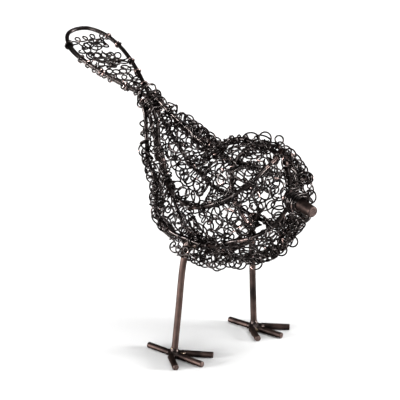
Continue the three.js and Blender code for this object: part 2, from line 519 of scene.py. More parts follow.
def wrap(path, outward, rng, size, pitch, bulge):
    """Loose uneven turns round a path, wider on the outward side."""
    count = len(path)
    along = tangents(path)
    side, other = cross_directions(path)
    spacing = drifting(rng, count, PITCH_DRIFT / GUIDE_STEP, *pitch)
    turn = 2 * math.pi * np.cumsum(GUIDE_STEP / spacing)
    turn = rng.choice((-1, 1)) * turn + rng.uniform(0, 2 * math.pi)
    round_path = np.cos(turn)[:, None] * side + np.sin(turn)[:, None] * other
    reach = drifting(rng, count, WRAP_SIZE_DRIFT / GUIDE_STEP, *size)
    outer = np.clip((round_path * outward).sum(axis=1), 0.0, 1.0)
    reach = reach * (1 + drifting(rng, count, BULGE_DRIFT / GUIDE_STEP, 0.0, bulge) * outer)
    slant = drifting(rng, count, SLANT_DRIFT / GUIDE_STEP, -SLANT_REACH, SLANT_REACH)
    slant = slant * np.sin(turn + rng.uniform(0, 2 * math.pi))
    return path + reach[:, None] * round_path + slant[:, None] * along


def around(path, start, end, pitch, radius, rng, loose=0.0):
    """Thin wire wound round a path between two distances along it."""
    fine = even_steps(path, GUIDE_STEP)
    fine = fine[max(0, int(start / GUIDE_STEP)):int(end / GUIDE_STEP) + 1]
    side, other = cross_directions(fine)
    turn = 2 * math.pi * np.arange(len(fine)) * GUIDE_STEP / pitch + rng.uniform(0, 2 * math.pi)
    reach = radius + drifting(rng, len(fine), pitch / GUIDE_STEP / 2, 0.0, loose)
    turn = turn[:, None]
    return fine + reach[:, None] * (np.cos(turn) * side + np.sin(turn) * other)


# Materials

def link_all(tree, *pairs):
    for output, target in pairs:
        tree.links.new(output, target)


def noise_node(tree, coordinates, scale, detail):
    node = tree.nodes.new("ShaderNodeTexNoise")
    node.inputs["Scale"].default_value = scale
    node.inputs["Detail"].default_value = detail
    tree.links.new(coordinates, node.inputs["Vector"])
    return node


def attribute_node(tree, name):
    node = tree.nodes.new("ShaderNodeAttribute")
    node.attribute_name = name
    return node.outputs["Fac"]


COPPER = (0.24, 0.172, 0.157)
BRASS = (0.3, 0.23, 0.15)
EDGE_TINT = (0.5, 0.46, 0.45, 1.0)
CLOUD_SCALE = 95.0
CLOUD_DETAIL = 4.0
SPECK_SCALE = 900.0
SPECK_DETAIL = 3.0
TONE_SHARE = 0.35
CLOUD_DARK = 0.42
CLOUD_LIGHT = 0.92
BARE_FROM = 0.35
BARE_TO = 0.6
BUMP_STRENGTH = 0.12
BUMP_HEIGHT_M = 0.0001


def patina(name, dark, light, copper, roughness):
    """Antique copper: a dark skin with lighter clouds, and bare copper where it is marked worn, which is
    real wear in places and a painted highlight on rubbed frame stretches and tail turns.
    """
    material = bpy.data.materials.new(name)
    material.use_nodes = True
    tree = material.node_tree
    shader = tree.nodes["Principled BSDF"]
    shader.inputs["Metallic"].default_value = 1.0
    shader.inputs["Specular Tint"].default_value = EDGE_TINT
    coordinates = tree.nodes.new("ShaderNodeTexCoord").outputs["Object"]
    clouds = noise_node(tree, coordinates, CLOUD_SCALE, CLOUD_DETAIL).outputs["Fac"]
    specks = noise_node(tree, coordinates, SPECK_SCALE, SPECK_DETAIL).outputs["Fac"]

    shade = tree.nodes.new("ShaderNodeMath")
    shade.operation = "MULTIPLY_ADD"
    shade.inputs[1].default_value = TONE_SHARE
    ramp = tree.nodes.new("ShaderNodeValToRGB")
    ramp.color_ramp.elements[0].position = CLOUD_DARK
    ramp.color_ramp.elements[0].color = (*dark, 1.0)
    ramp.color_ramp.elements[1].position = CLOUD_LIGHT
    ramp.color_ramp.elements[1].color = (*light, 1.0)
    link_all(
        tree,
        (attribute_node(tree, "tone"), shade.inputs[0]),
        (clouds, shade.inputs[2]),
        (shade.outputs[0], ramp.inputs[0]),
    )

    bare = tree.nodes.new("ShaderNodeMapRange")
    bare.inputs["From Min"].default_value = BARE_FROM
    bare.inputs["From Max"].default_value = BARE_TO
    worn_and_lit = tree.nodes.new("ShaderNodeMath")
    worn_and_lit.operation = "MULTIPLY"
    # Copper mixed in here is real wear in places and a painted highlight in others
    mix = tree.nodes.new("ShaderNodeMix")
    mix.data_type = "RGBA"
    mix.inputs["B"].default_value = (*copper, 1.0)
    link_all(
        tree,
        (specks, bare.inputs["Value"]),
        (attribute_node(tree, "wear"), worn_and_lit.inputs[0]),
        (bare.outputs["Result"], worn_and_lit.inputs[1]),
        (worn_and_lit.outputs[0], mix.inputs["Factor"]),
        (ramp.outputs["Color"], mix.inputs["A"]),
        (mix.outputs["Result"], shader.inputs["Base Color"]),
    )

    gloss = tree.nodes.new("ShaderNodeMapRange")
    gloss.inputs["To Min"].default_value = roughness[0]
    gloss.inputs["To Max"].default_value = roughness[1]
    bump = tree.nodes.new("ShaderNodeBump")
    bump.inputs["Strength"].default_value = BUMP_STRENGTH
    bump.inputs["Distance"].default_value = BUMP_HEIGHT_M
    link_all(
        tree,
        (specks, gloss.inputs["Value"]),
        (gloss.outputs["Result"], shader.inputs["Roughness"]),
        (specks, bump.inputs["Height"]),
        (bump.outputs["Normal"], shader.inputs["Normal"]),
    )
    return material


thin_patina = patina(
    "thin_wire_patina", (0.0092, 0.0083, 0.0083), (0.038, 0.0335, 0.032), COPPER, (0.13, 0.25),
)
wire_patina = patina(
    "frame_wire_patina", (0.0095, 0.0083, 0.0082), (0.04, 0.033, 0.031), COPPER, (0.17, 0.3),
)
rod_patina = patina("rod_patina", (0.0093, 0.007, 0.0066), (0.064, 0.0425, 0.0365), COPPER, (0.44, 0.58))
weld_patina = patina("weld_patina", (0.010, 0.008, 0.008), (0.05, 0.038, 0.034), BRASS, (0.22, 0.4))


def thin_piece(name, strands):
    tubes_piece(name, strands, thin_patina)


# Frame wires, tail, beak, legs and toes

WAVER = 0.45
WAVER_LENGTH = 14.0
WAVER_FADE_STEPS = 6
SPOT_STEPS = 4
SPOT_CHANCE = 0.93
SPOT_SOFTNESS = 0.1
SPOT_WEAR = 0.5
RUBBED_HIGHLIGHT_WEAR = 0.9
FRAME_TONE = (0.2, 0.8)
TOE_TONE = (0.1, 0.5)
BEAK_TONE = 0.0


def hand_bent(path, rng, amount):
    """The slight waver of wire bent by hand, dying out at both ends."""
    side, other = cross_directions(path)
    from_end = np.minimum(np.arange(len(path)), np.arange(len(path))[::-1])
    fade = np.minimum(1.0, from_end / WAVER_FADE_STEPS)
    spacing = WAVER_LENGTH / FRAME_STEP
    first = drifting(rng, len(path), spacing, -amount, amount) * fade
    second = drifting(rng, len(path), spacing, -amount, amount) * fade
    return path + side * first[:, None] + other * second[:, None]


frame_paths = {}
for index, (node, (guides, layer)) in enumerate(FRAME_GUIDES.items()):
    rng = draws(BEND_DRAWS + index)
    frame_paths[node] = hand_bent(curve_on_body(guides, layer), rng, WAVER)
frame_paths["tail_loop"] = tail_path()

# Stretches of the frame wires, as shares of their length, where the patina is rubbed off to bare copper;
# they are placed where lit strokes fall, so they are partly wear and partly a painted highlight
RUBBED_HIGHLIGHTS = {
    "head_hoop": ((0.10, 0.15), (0.2, 0.27), (0.33, 0.36)),
    "right_side_rail": ((0.55, 0.57), (0.86, 0.93)),
    "right_lower_rib": ((0.66, 0.68), (0.8, 0.84)),
    "brow_wire": ((0.2, 0.4),),
}


def wear_and_rubbed_highlights(node, path, rng):
    """How bare each point of a frame wire is: small chance spots of wear, and the rubbed stretches, which
    are partly wear and partly a painted highlight.
    """
    spots = drifting(rng, len(path), SPOT_STEPS, 0.0, 1.0)
    wear = np.clip((spots - SPOT_CHANCE) / SPOT_SOFTNESS, 0.0, SPOT_WEAR)
    share = np.linspace(0.0, 1.0, len(path))
    # The listed stretches are bare copper: partly wear, partly a painted highlight
    for start, end in RUBBED_HIGHLIGHTS.get(node, ()):
        wear[(share > start) & (share < end)] = RUBBED_HIGHLIGHT_WEAR
    return wear


for index, (node, path) in enumerate(frame_paths.items()):
    rng = draws(FRAME_DRAWS + index)
    wear = wear_and_rubbed_highlights(node, path, rng)
    tone = rng.uniform(*FRAME_TONE)
    bar = tube(path, FRAME_WIRE / 2, FRAME_SIDES, edge=FRAME_RIM, wear=wear, tone=tone)
    tubes_piece(node + "_wire", [bar], wire_patina, [node])

leg_paths = {}
for index, (name, foot) in enumerate(FEET.items()):
    rng = draws(FOOT_DRAWS + index)
    leg_paths[name] = leg_path(foot)
    # The leg's patina tone is painted light on the right leg and painted shade on the left
    leg = tube(leg_paths[name], LEG_ROD / 2, ROD_SIDES, edge=LEG_RIM, tone=foot.tone)
    tubes_piece(name + "_leg_rod", [leg], rod_patina, [name + "_leg"])
    for toe_name, toe in TOES.items():
        node = f"{name}_foot_{toe_name}_toe"
        path = toe_path(foot, toe)
        wear = np.concatenate((np.zeros(len(path) - 2), TOE_END_WEAR))
        tone = rng.uniform(*TOE_TONE)
        rod = tube(path, TOE_ROD / 2, ROD_SIDES, edge=TOE_RIM, wear=wear, tone=tone)
        tubes_piece(node + "_rod", [rod], rod_patina, [node])

path = beak_path()
wear = np.concatenate((np.zeros(len(path) - 2), BEAK_END_WEAR))
beak_rod = tube(path, BEAK_ROD / 2, BEAK_SIDES, edge=BEAK_RIM, wear=wear, tone=BEAK_TONE)
tubes_piece("beak_rod", [beak_rod], rod_patina, ["beak"])


# Welds: lumps of melted metal that join the rods

WELD_RINGS = 30
WELD_SIDES = 56
WELD_REACH = 15.0
WELD_FIRST = 0.2
WELD_STEPS = 150
WELD_BLEND = 2.4
WELD_FLOOR = 0.1
WELD_TONE = 0.4
LUMP_WAVES = 9
LUMP_FINENESS = (4.0, 13.0)
LUMP_DEPTH = 0.02
LUMP_WORN_FROM = 3.2
LUMP_WORN_SPAN = 1.5

# How much thicker than its rod or wire each bar of weld is, and how far a foot's weld reaches
LEG_COLLAR = 0.55
LEG_COLLAR_STEPS = 3
LEG_COLLAR_RISE = 0.5 * UP
TOE_COLLAR = 0.15
TOE_COLLAR_LENGTH = 2.2
FOOT_WELD_RISE = 1.0 * UP
BEAK_COLLAR = 0.4
BEAK_WIRE_COLLAR = 0.3
LEG_TOP_COLLAR = 0.3
LEG_WIRE_COLLAR = 0.4


def weld_distance(places, bars):
    """Distance to several round bars that melt into each other."""
    total = None
    for start, end, radius in bars:
        span = end - start
        along = np.clip((places - start) @ span / (span @ span), 0.0, 1.0)
        here = np.linalg.norm(places - start - along[..., None] * span, axis=-1) - radius
        total = here if total is None else smooth_union(total, here, WELD_BLEND)
    return total


def weld_lump(name, centre, bars, rng):
    """A lumpy skin round a centre, as far out as the bars reach in each direction."""
    rise = math.pi * (np.arange(WELD_RINGS) + 0.5) / WELD_RINGS
    turn = 2 * math.pi * np.arange(WELD_SIDES) / WELD_SIDES
    flat = np.stack((np.cos(turn), np.sin(turn), np.zeros(WELD_SIDES)), axis=1)
    ways = np.sin(rise)[:, None, None] * flat + np.cos(rise)[:, None, None] * UP
    steps = np.linspace(WELD_FIRST, WELD_REACH, WELD_STEPS)
    places = centre + ways[:, :, None] * steps[:, None]
    outside = weld_distance(places, bars) > 0.0
    reach = steps[np.argmax(outside, axis=2)]
    lumps = np.zeros(reach.shape)
    for _ in range(LUMP_WAVES):
        wave = rng.normal(size=3)
        phase = ways @ unit(wave) * rng.uniform(*LUMP_FINENESS)
        lumps += np.cos(phase + rng.uniform(0, 2 * math.pi))
    reach = reach * (1 + LUMP_DEPTH * lumps)
    skin = (centre + ways * reach[..., None]).reshape(-1, 3)
    skin[:, 2] = np.maximum(skin[:, 2], WELD_FLOOR)
    rings = np.arange(WELD_RINGS - 1)[:, None] * WELD_SIDES
    here = np.arange(WELD_SIDES)[None]
    ahead = (here + 1) % WELD_SIDES
    below = rings + WELD_SIDES
    quads = np.stack((rings + here, below + here, below + ahead, rings + ahead), axis=-1)
    last = (WELD_RINGS - 1) * WELD_SIDES
    faces = quads.reshape(-1, 4).tolist()
    faces.append(list(range(WELD_SIDES)))
    faces.append(list(range(last, last + WELD_SIDES))[::-1])
    smooth = [True] * len(faces)
    wear = np.clip((lumps.ravel() - LUMP_WORN_FROM) / LUMP_WORN_SPAN, 0.0, 1.0)
    tone = np.full(len(skin), WELD_TONE)
    mesh_piece(name, skin, faces, smooth, wear, tone, weld_patina)


for index, (name, foot) in enumerate(FEET.items()):
    rng = draws(FOOT_WELD_DRAWS + index)
    base = np.array((foot.x, foot.y, TOE_ROD / 2))
    leg = leg_paths[name]
    bars = [(base, leg[LEG_COLLAR_STEPS] + LEG_COLLAR_RISE, LEG_ROD / 2 + LEG_COLLAR)]
    for toe in TOES.values():
        path = toe_path(foot, toe)
        tip = path[0] + unit(path[1] - path[0]) * TOE_COLLAR_LENGTH
        bars.append((base, tip, TOE_ROD / 2 + TOE_COLLAR))
    weld_lump(name + "_foot_weld", base + FOOT_WELD_RISE, bars, rng)


def toward(start, path, radius):
    """A short bar of weld from a place to the nearest point of a wire."""
    nearest = path[int(np.argmin(np.linalg.norm(path - start, axis=1)))]
    return (start, nearest, radius)


_, weld_start, beak_root, _, weld_end = beak_path()[:5]
beak_bars = [(weld_start, weld_end, BEAK_ROD / 2 + BEAK_COLLAR)]
for node in ("keel", "brow_wire", "head_hoop", "right_lower_rib", "left_lower_rib"):
    beak_bars.append(toward(beak_root, frame_paths[node], FRAME_WIRE / 2 + BEAK_WIRE_COLLAR))
weld_lump("beak_weld", beak_root, beak_bars, draws(BEAK_WELD_DRAWS))

for index, name in enumerate(FEET):
    weld_start, top, _, weld_end = leg_paths[name][-5:-1]
    bars = [(weld_start, weld_end, LEG_ROD / 2 + LEG_TOP_COLLAR)]
    for node in (name + "_lower_rib", "belly_hoop"):
        bars.append(toward(top, frame_paths[node], FRAME_WIRE / 2 + LEG_WIRE_COLLAR))
    weld_lump(name + "_leg_weld", top, bars, draws(LEG_WELD_DRAWS + index))


# Loose windings of thin wire round the frame wires

Winding = namedtuple("Winding", "start end rows size pitch bulge")
WINDINGS = {
    "back_ridge": (
        Winding(0.06, 0.22, 1, (3.0, 4.6), (5.0, 8.0), 0.2),
        Winding(0.18, 0.64, 1, (3.4, 7.2), (6.5, 11.0), 0.7),
        Winding(0.36, 0.64, 1, (3.4, 7.2), (6.5, 11.0), 0.7),
        Winding(0.6, 1.0, 1, (2.7, 3.6), (6.0, 10.0), 0.0),
    ),
    "keel": (
        Winding(0.1, 0.45, 1, (3.0, 5.4), (6.0, 11.0), 0.6),
        Winding(0.4, 0.64, 2, (3.2, 6.0), (6.0, 11.0), 0.6),
        Winding(0.64, 1.0, 2, (2.8, 4.4), (6.0, 11.0), 0.2),
    ),
    "right_side_rail": (
        Winding(0.08, 0.48, 1, (3.0, 5.0), (6.0, 11.0), 0.0),
        Winding(0.5, 0.95, 1, (2.8, 3.6), (12.0, 24.0), 0.0),
    ),
    "left_side_rail": (Winding(0.08, 1.0, 1, (3.0, 5.5), (6.0, 11.0), 0.4),),
    "brow_wire": (Winding(0.1, 1.0, 1, (2.8, 4.5), (6.0, 10.0), 0.4),),
    "right_lower_rib": (
        Winding(0.08, 0.5, 2, (3.0, 5.2), (6.0, 11.0), 0.2),
        Winding(0.5, 0.95, 1, (2.8, 4.2), (8.0, 16.0), 0.0),
    ),
    "left_lower_rib": (
        Winding(0.08, 0.6, 1, (3.0, 5.5), (6.0, 11.0), 0.5),
        Winding(0.6, 1.0, 1, (2.8, 4.2), (6.0, 11.0), 0.1),
    ),
    "head_hoop": (
        Winding(0.05, 0.45, 1, (2.8, 4.0), (9.0, 20.0), 0.0),
        Winding(0.42, 1.0, 1, (3.0, 5.5), (5.0, 8.0), 0.8),
    ),
    "belly_hoop": (Winding(0.0, 1.0, 1, (3.0, 5.5), (6.0, 10.0), 0.5),),
}


def windings_round(node, winding, key):
    """Strands wound loosely round part of one frame wire."""
    strands = []
    for index in range(winding.rows):
        rng = draws(key, index)
        path = even_steps(frame_paths[node], GUIDE_STEP)
        path = path[int(winding.start * len(path)):int(winding.end * len(path))]
        wire = wrap(path, outward_at(path), rng, winding.size, winding.pitch, winding.bulge)
        strands.append(thin(wire, rng))
    return strands


for index, (node, windings) in enumerate(WINDINGS.items()):
    strands = []
    for part, winding in enumerate(windings):
        strands += windings_round(node, winding, WINDING_DRAWS + WINDING_KEYS * index + part)
    thin_piece(node + "_windings", strands)


# Tight turns of thin wire round the body's frame wires

BIND_RADIUS = (FRAME_WIRE + THIN_WIRE) / 2
BIND_FIRST = (3.0, 9.0)
BIND_END_CLEAR = 10.0
BIND_TURNS = (1.2, 3.4)
BIND_PITCH = (1.0, 1.5)
BIND_LOOSE = 0.3
BIND_SPACING = {
    "back_ridge": (8.0, 16.0),
    "keel": (8.0, 16.0),
    "right_side_rail": (14.0, 30.0),
    "left_side_rail": (10.0, 20.0),
    "brow_wire": (8.0, 14.0),
    "right_lower_rib": (11.0, 24.0),
    "left_lower_rib": (10.0, 20.0),
    "head_hoop": (13.0, 28.0),
    "belly_hoop": (10.0, 20.0),
}
frame_turns = []
for index, (node, spacing) in enumerate(BIND_SPACING.items()):
    rng = draws(TURN_DRAWS + index)
    length = np.linalg.norm(np.diff(frame_paths[node], axis=0), axis=1).sum()
    at = rng.uniform(*BIND_FIRST)
    while at < length - BIND_END_CLEAR:
        turns = rng.uniform(*BIND_TURNS)
        pitch = rng.uniform(*BIND_PITCH) * THIN_WIRE
        end = at + turns * pitch
        wound = around(frame_paths[node], at, end, pitch, BIND_RADIUS, rng, BIND_LOOSE)
        frame_turns.append(thin(wound, rng, WORN_TURNS))
        at += turns * pitch + rng.uniform(*spacing)
thin_piece("frame_bindings", frame_turns)


# Thin curls that wander over the panels between the frame wires

SEARCH_LOW = np.array((-90.0, -60.0, 70.0))
SEARCH_HIGH = np.array((95.0, 60.0, 205.0))
SEARCH_TRIES = 40
SEARCH_SKIN = 1.5
CANDIDATES = 1500
CROWD_REACH = 7.0
CROWD_JITTER = 0.2
WANDER_STEP = 2.0
WANDER_DRIFT = 0.12
WANDER_JITTER = 0.10
WANDER_TURNS = np.array((-0.35, 0.0, 0.35))
WANDER_PASSES = 2
PROBE_STEPS = 4
PANEL_STRANDS = 76
PANEL_PIECES = 4
PANEL_LENGTH = (25.0, 60.0)
PANEL_LAYER = (-5.5, 0.0)
PANEL_SIZE = (3.2, 6.4)
PANEL_PITCH = (5.5, 11.0)
PANEL_LEAN = (-50.0, 50.0)
PANEL_SQUEEZE = (0.7, 1.1)
FILL_LAYER = -1.0
FILL_SIZE = (3.2, 6.0)
FILL_PITCH = (5.5, 10.0)
FILL_LEAN = (-40.0, 40.0)
FRAME_SKIP = 7
TAKEN_SKIP = 2
GUIDE_SKIP = 3


def surface_candidates(count, rng):
    """Places spread evenly over the body's skin."""
    tries = rng.uniform(SEARCH_LOW, SEARCH_HIGH, (count * SEARCH_TRIES, 3))
    near = tries[np.abs(body_distance(tries)) < SEARCH_SKIN]
    return lay_on_body(near[:count])


def crowding(places, taken):
    """How much wire is already close to each place."""
    gaps = np.linalg.norm(places[:, None] - np.asarray(taken)[None], axis=-1)
    return np.exp(-(gaps / CROWD_REACH) ** 2).sum(axis=1)


def wander(start, length, layer, taken, rng):
    """A path over the body that turns away from wire already laid."""
    path = [start]
    heading = unit(np.cross(outward_at(start), rng.normal(size=3)))
    drift = rng.normal(0.0, WANDER_DRIFT)
    for _ in range(int(length / WANDER_STEP)):
        here = path[-1]
        outward = outward_at(here)
        turns = drift + rng.normal(0.0, WANDER_JITTER) + WANDER_TURNS
        sideways = np.cross(outward, heading)
        headings = np.cos(turns)[:, None] * heading + np.sin(turns)[:, None] * sideways
        ahead = lay_on_body(here + headings * WANDER_STEP, layer, passes=WANDER_PASSES)
        probe = here + headings * PROBE_STEPS * WANDER_STEP
        best = int(np.argmin(crowding(probe, taken)))
        heading = unit(ahead[best] - here)
        path.append(ahead[best])
    return np.array(path)


# Further strands over the head, the breast and the right of the back
FILL_GUIDES = (
    ((60, -36, 146), (63, -35, 154), (69, -28, 155), (73, -23, 154), (75, -16, 158)),
    ((76, -8, 157), (74, -10, 164), (69, -7, 171), (64, -4, 175), (56, -10, 178)),
    ((62, -18, 171), (58, -26, 170), (52, -33, 168), (46, -37, 166), (38, -40, 163)),
    ((58, -40, 136), (65, -37, 129), (67, -34, 122), (60, -38, 119)),
    ((-34, -16, 169), (-29, -20, 167), (-20, -24, 163), (-10, -27, 159)),
    ((-24, -12, 168), (-17, -17, 166), (-8, -20, 165), (0, -24, 163)),
    ((66, -30, 112), (72, -23, 116), (77, -17, 120), (81, -13, 130), (82, -13, 141)),
    ((58, -36, 150), (63, -35, 155), (67, -26, 162), (69, -19, 165), (74, -10, 162), (72, -4, 168)),
)

# Places on the body that wandering strands leave open
OPEN_SPOTS = np.array((
    (-36.0, -31.0, 146.0), (5.0, -37.0, 154.0), (48.0, -42.0, 119.0), (78.0, -21.0, 137.0),
))
OPEN_RADIUS = 5.0


def panel_strands():
    """Strands that start where the least wire is, without those past open places, and the fill."""
    rng = draws(PANEL_DRAWS)
    candidates = surface_candidates(CANDIDATES, rng)
    taken = [point for path in frame_paths.values() for point in path[::FRAME_SKIP]]
    strands = []
    for _ in range(PANEL_STRANDS):
        crowded = crowding(candidates, taken) + rng.uniform(0, CROWD_JITTER, len(candidates))
        start = candidates[int(np.argmin(crowded))]
        length = rng.uniform(*PANEL_LENGTH)
        layer = rng.uniform(*PANEL_LAYER)
        guide = wander(start, length, layer, taken, rng)
        taken += list(guide[::TAKEN_SKIP])
        path = spline(guide[::GUIDE_SKIP], GUIDE_STEP)
        squeeze = rng.uniform(*PANEL_SQUEEZE)
        wire = curl(path, outward_at(path), rng, PANEL_SIZE, PANEL_PITCH, PANEL_LEAN, squeeze)
        strand = thin(wire, rng)
        gaps = np.linalg.norm(guide[:, None] - OPEN_SPOTS, axis=-1)
        if gaps.min() > OPEN_RADIUS:
            strands.append(strand)
    for guides in FILL_GUIDES:
        path = spline(lay_on_body(np.array(guides, float), FILL_LAYER), GUIDE_STEP)
        wire = curl(path, outward_at(path), rng, FILL_SIZE, FILL_PITCH, FILL_LEAN)
        strands.append(thin(wire, rng))
    return strands


panels = panel_strands()
for part in range(PANEL_PIECES):
    thin_piece(f"panel_curls_{part + 1}", panels[part::PANEL_PIECES])


# Chains of loops round the outside of the body, single loops, cut ends and the tangle at the beak

LOOPS_FACE = unit(np.array((0.69, -0.64, 0.34)))
CHAIN_LEAN = (-50.0, 50.0)
# A chain with no height lies where its guides are, and the others at that height over the body
Chain = namedtuple("Chain", "guides height size pitch")
CHAINS = (
    Chain((
        (-70, -17, 163), (-65, -20, 153), (-60, -23, 143), (-50, -29, 133), (-42, -33, 124),
    ), 2.0, (2.8, 4.6), (6.0, 11.0)),
    Chain((
        (-50, -29, 133), (-40, -34, 122), (-32, -36, 111), (-26, -35, 102), (-18, -33, 95),
    ), -3.0, (2.8, 4.6), (5.0, 9.0)),
    Chain((
        (-14, -31, 93), (0, -27, 88), (14, -23, 86), (27, -18, 85), (38, -11, 86),
    ), 2.0, (3.0, 4.8), (4.5, 8.0)),
    Chain(((0, -28, 89), (8, -25, 87), (18, -21, 86), (28, -17, 85)), 5.0, (2.4, 4.2), (4.0, 7.0)),
    Chain(((0, -28, 89), (7, -25, 87), (15, -22, 86), (23, -19, 85)), 7.5, (2.4, 3.6), (4.0, 7.0)),
    Chain(((-6, -46, 98), (1, -46, 96), (8, -42, 95), (16, -37, 95)), None, (2.4, 4.0), (4.5, 8.0)),
    Chain(((1, -46, 93), (7, -42, 91), (13, -36, 90), (19, -31, 88)), None, (2.2, 3.6), (4.5, 8.0)),
    Chain((
        (38, -11, 86), (50, -5, 88), (60, 1, 94), (66, 8, 101), (70, 16, 108), (72, 23, 117),
        (72, 28, 127),
    ), -5.0, (3.0, 4.8), (7.0, 13.0)),
    Chain((
        (72, 33, 137), (71, 35, 144), (68, 35, 151), (65, 35, 158), (60, 34, 164), (55, 32, 169),
        (48, 29, 173), (42, 24, 177),
    ), 1.5, (2.0, 4.2), (4.0, 8.0)),
    Chain((
        (68, 34, 149), (65, 35, 158), (60, 34, 164), (55, 32, 169), (48, 29, 173),
    ), -1.5, (2.0, 3.8), (3.6, 7.0)),
    Chain(((40, 22, 181), (36, 19, 182), (29, 14, 183), (24, 9, 182)), 0.5, (2.8, 4.6), (8.0, 12.0)),
    Chain((
        (-14, 20, 165), (-23, 20, 168), (-32, 19, 173), (-41, 16, 177), (-47, 13, 179), (-54, 11, 183),
    ), 0.5, (1.8, 4.6), (4.0, 8.0)),
    Chain(((-12, 18, 165), (-20, 19, 168), (-28, 19, 172), (-37, 17, 176)), -1.0, (1.8, 4.2), (3.4, 6.5)),
)
Loop = namedtuple("Loop", "x y z radius")
PROUD_LOOPS = (
    Loop(37.9, -11.0, 85.3, 5.0), Loop(50.0, -5.1, 87.3, 5.2),
    Loop(65.3, 7.2, 99.5, 4.7), Loop(34.0, 19.3, 182.0, 4.8),
    Loop(74.0, 11.0, 108.0, 4.0), Loop(43.0, 26.0, 181.0, 3.6),
    Loop(-85.0, -7.0, 190.0, 3.0), Loop(-79.0, 5.0, 197.0, 3.8),
)
CUT_ENDS = ((-33.2, -41.3, 113.5), (-28.2, -37.2, 101.6), (-20.1, -33.7, 94.3), (-50.4, 13.2, 183.7))
LOOP_FACE_JITTER = 0.25
LOOP_ARC_DEG = (55.0, 305.0)
LOOP_POINTS = 10
LOOP_CUTS = 40
LOOP_DEPTH = 0.9
LOOP_LEAD = 5.0
LOOP_SPREAD = 2.2
LOOP_OFFSET = 1.2
CUT_END_LAYER = -3.0
CUT_END_BEND = 1.6
Tangle = namedtuple("Tangle", "end pitch loose")
BEAK_TANGLE = (
    Tangle(15.0, 3.0, 1.6), Tangle(14.0, 5.0, 4.0), Tangle(17.0, 3.4, 3.0), Tangle(13.0, 4.0, 5.5),
)
TANGLE_START = 3.0
TANGLE_RADIUS = (BEAK_ROD + THIN_WIRE) / 2


def edge_chain(chain, rng):
    """Loops along a line round the body, lying flat to the front right."""
    places = np.array(chain.guides, float)
    if chain.height is not None:
        places = lay_on_body(places, chain.height)
    path = spline(places, GUIDE_STEP)
    face = np.broadcast_to(LOOPS_FACE, path.shape)
    return curl(path, face, rng, chain.size, chain.pitch, CHAIN_LEAN)


def proud_loop(loop, rng):
    """A round loop whose two ends dive into the body."""
    centre = np.array((loop.x, loop.y, loop.z))
    face = unit(LOOPS_FACE + rng.normal(0.0, LOOP_FACE_JITTER, 3))
    outward = outward_at(centre)
    inward = -unit(outward - face * (outward @ face))
    aside = np.cross(face, inward)
    turn = np.radians(np.linspace(*LOOP_ARC_DEG, LOOP_CUTS))[:, None]
    ring = centre + loop.radius * (np.cos(turn) * inward + np.sin(turn) * aside)
    depth = inward * (LOOP_DEPTH * loop.radius + LOOP_LEAD)
    start = centre + depth - aside * LOOP_SPREAD * loop.radius + face * LOOP_OFFSET
    end = centre + depth + aside * LOOP_SPREAD * loop.radius - face * LOOP_OFFSET
    return spline(np.vstack((start, ring[::LOOP_CUTS // LOOP_POINTS], end)), GUIDE_STEP)


def cut_end(tip, rng):
    """A short end of wire that sticks out of the body, a little bent."""
    tip = np.array(tip)
    root = lay_on_body(tip, CUT_END_LAYER)
    middle = (tip + root) / 2 + rng.normal(0.0, CUT_END_BEND, 3)
    return spline(np.stack((root, middle, tip)), GUIDE_STEP)


chain_strands = []
for index, chain in enumerate(CHAINS):
    rng = draws(CHAIN_DRAWS + index)
    chain_strands.append(thin(edge_chain(chain, rng), rng))
thin_piece("edge_chains", chain_strands)

rng = draws(LOOP_DRAWS)
singles = [thin(proud_loop(loop, rng), rng, WORN_SOME) for loop in PROUD_LOOPS]
singles += [thin(cut_end(tip, rng), rng, WORN_SOME) for tip in CUT_ENDS]
for end, pitch, loose in BEAK_TANGLE:
    wound = around(beak_path(), TANGLE_START, end, pitch, TANGLE_RADIUS, rng, loose)
    singles.append(thin(wound, rng, WORN_SOME))
thin_piece("proud_loops", singles)


# Curls in the tail, each strand given by places along and across it

TAIL_CURL_LIFT = 0.8
Strand = namedtuple("Strand", "guides size pitch lean side")
TAIL_STRANDS = (
    Strand(((92, -17), (93, -11), (93, -4), (93, 4), (92, 12), (87, 17)), (3.4, 4.0), (7.4, 8.4), 12, 1),
    Strand(((92, -14), (85, -10), (83, -3), (82, 3), (81, 9), (82, 15)), (3.2, 4.4), (8, 11), 20, -1),
    Strand(((78, -13), (78, -7), (77, 0), (79, 6), (85, 9)), (2.8, 5.0), (4.6, 7.6), 25, 1),
    Strand(((82, -8), (86, 0), (84, 8), (77, 9)), (2.8, 4.6), (5.0, 8.0), 25, 1),
    Strand(((70, -15), (67, -10), (65, -3), (62, 3), (60, 10), (56, 15)), (3.0, 5.2), (4.6, 7.6), 25, 1),
    Strand(((61, -15), (58, -11), (55, -4), (52, 3), (50, 9), (47, 13)), (3.0, 5.2), (4.6, 7.6), 25, -1),
    Strand(((52, -12), (49, -8), (48, -1), (54, 4), (60, 3), (67, 4)), (2.8, 4.6), (4.6, 7.6), 25, -1),
    Strand(((72, -12), (66, -6), (60, -5), (55, -1), (56, 6)), (2.8, 4.6), (4.6, 7.6), 25, 1),
    Strand(((44, -11), (40, -5), (38, 3), (42, 8), (36, 9)), (2.8, 4.6), (4.6, 7.6), 25, 1),
    Strand(((33, -7), (29, -1), (31, 5), (24, 5), (16, 3)), (2.6, 4.2), (4.6, 7.6), 25, 1),
    Strand(((25, -5), (19, -1), (12, 1), (5, 1)), (2.4, 3.8), (4.6, 7.6), 25, -1),
)
tail_strands = []
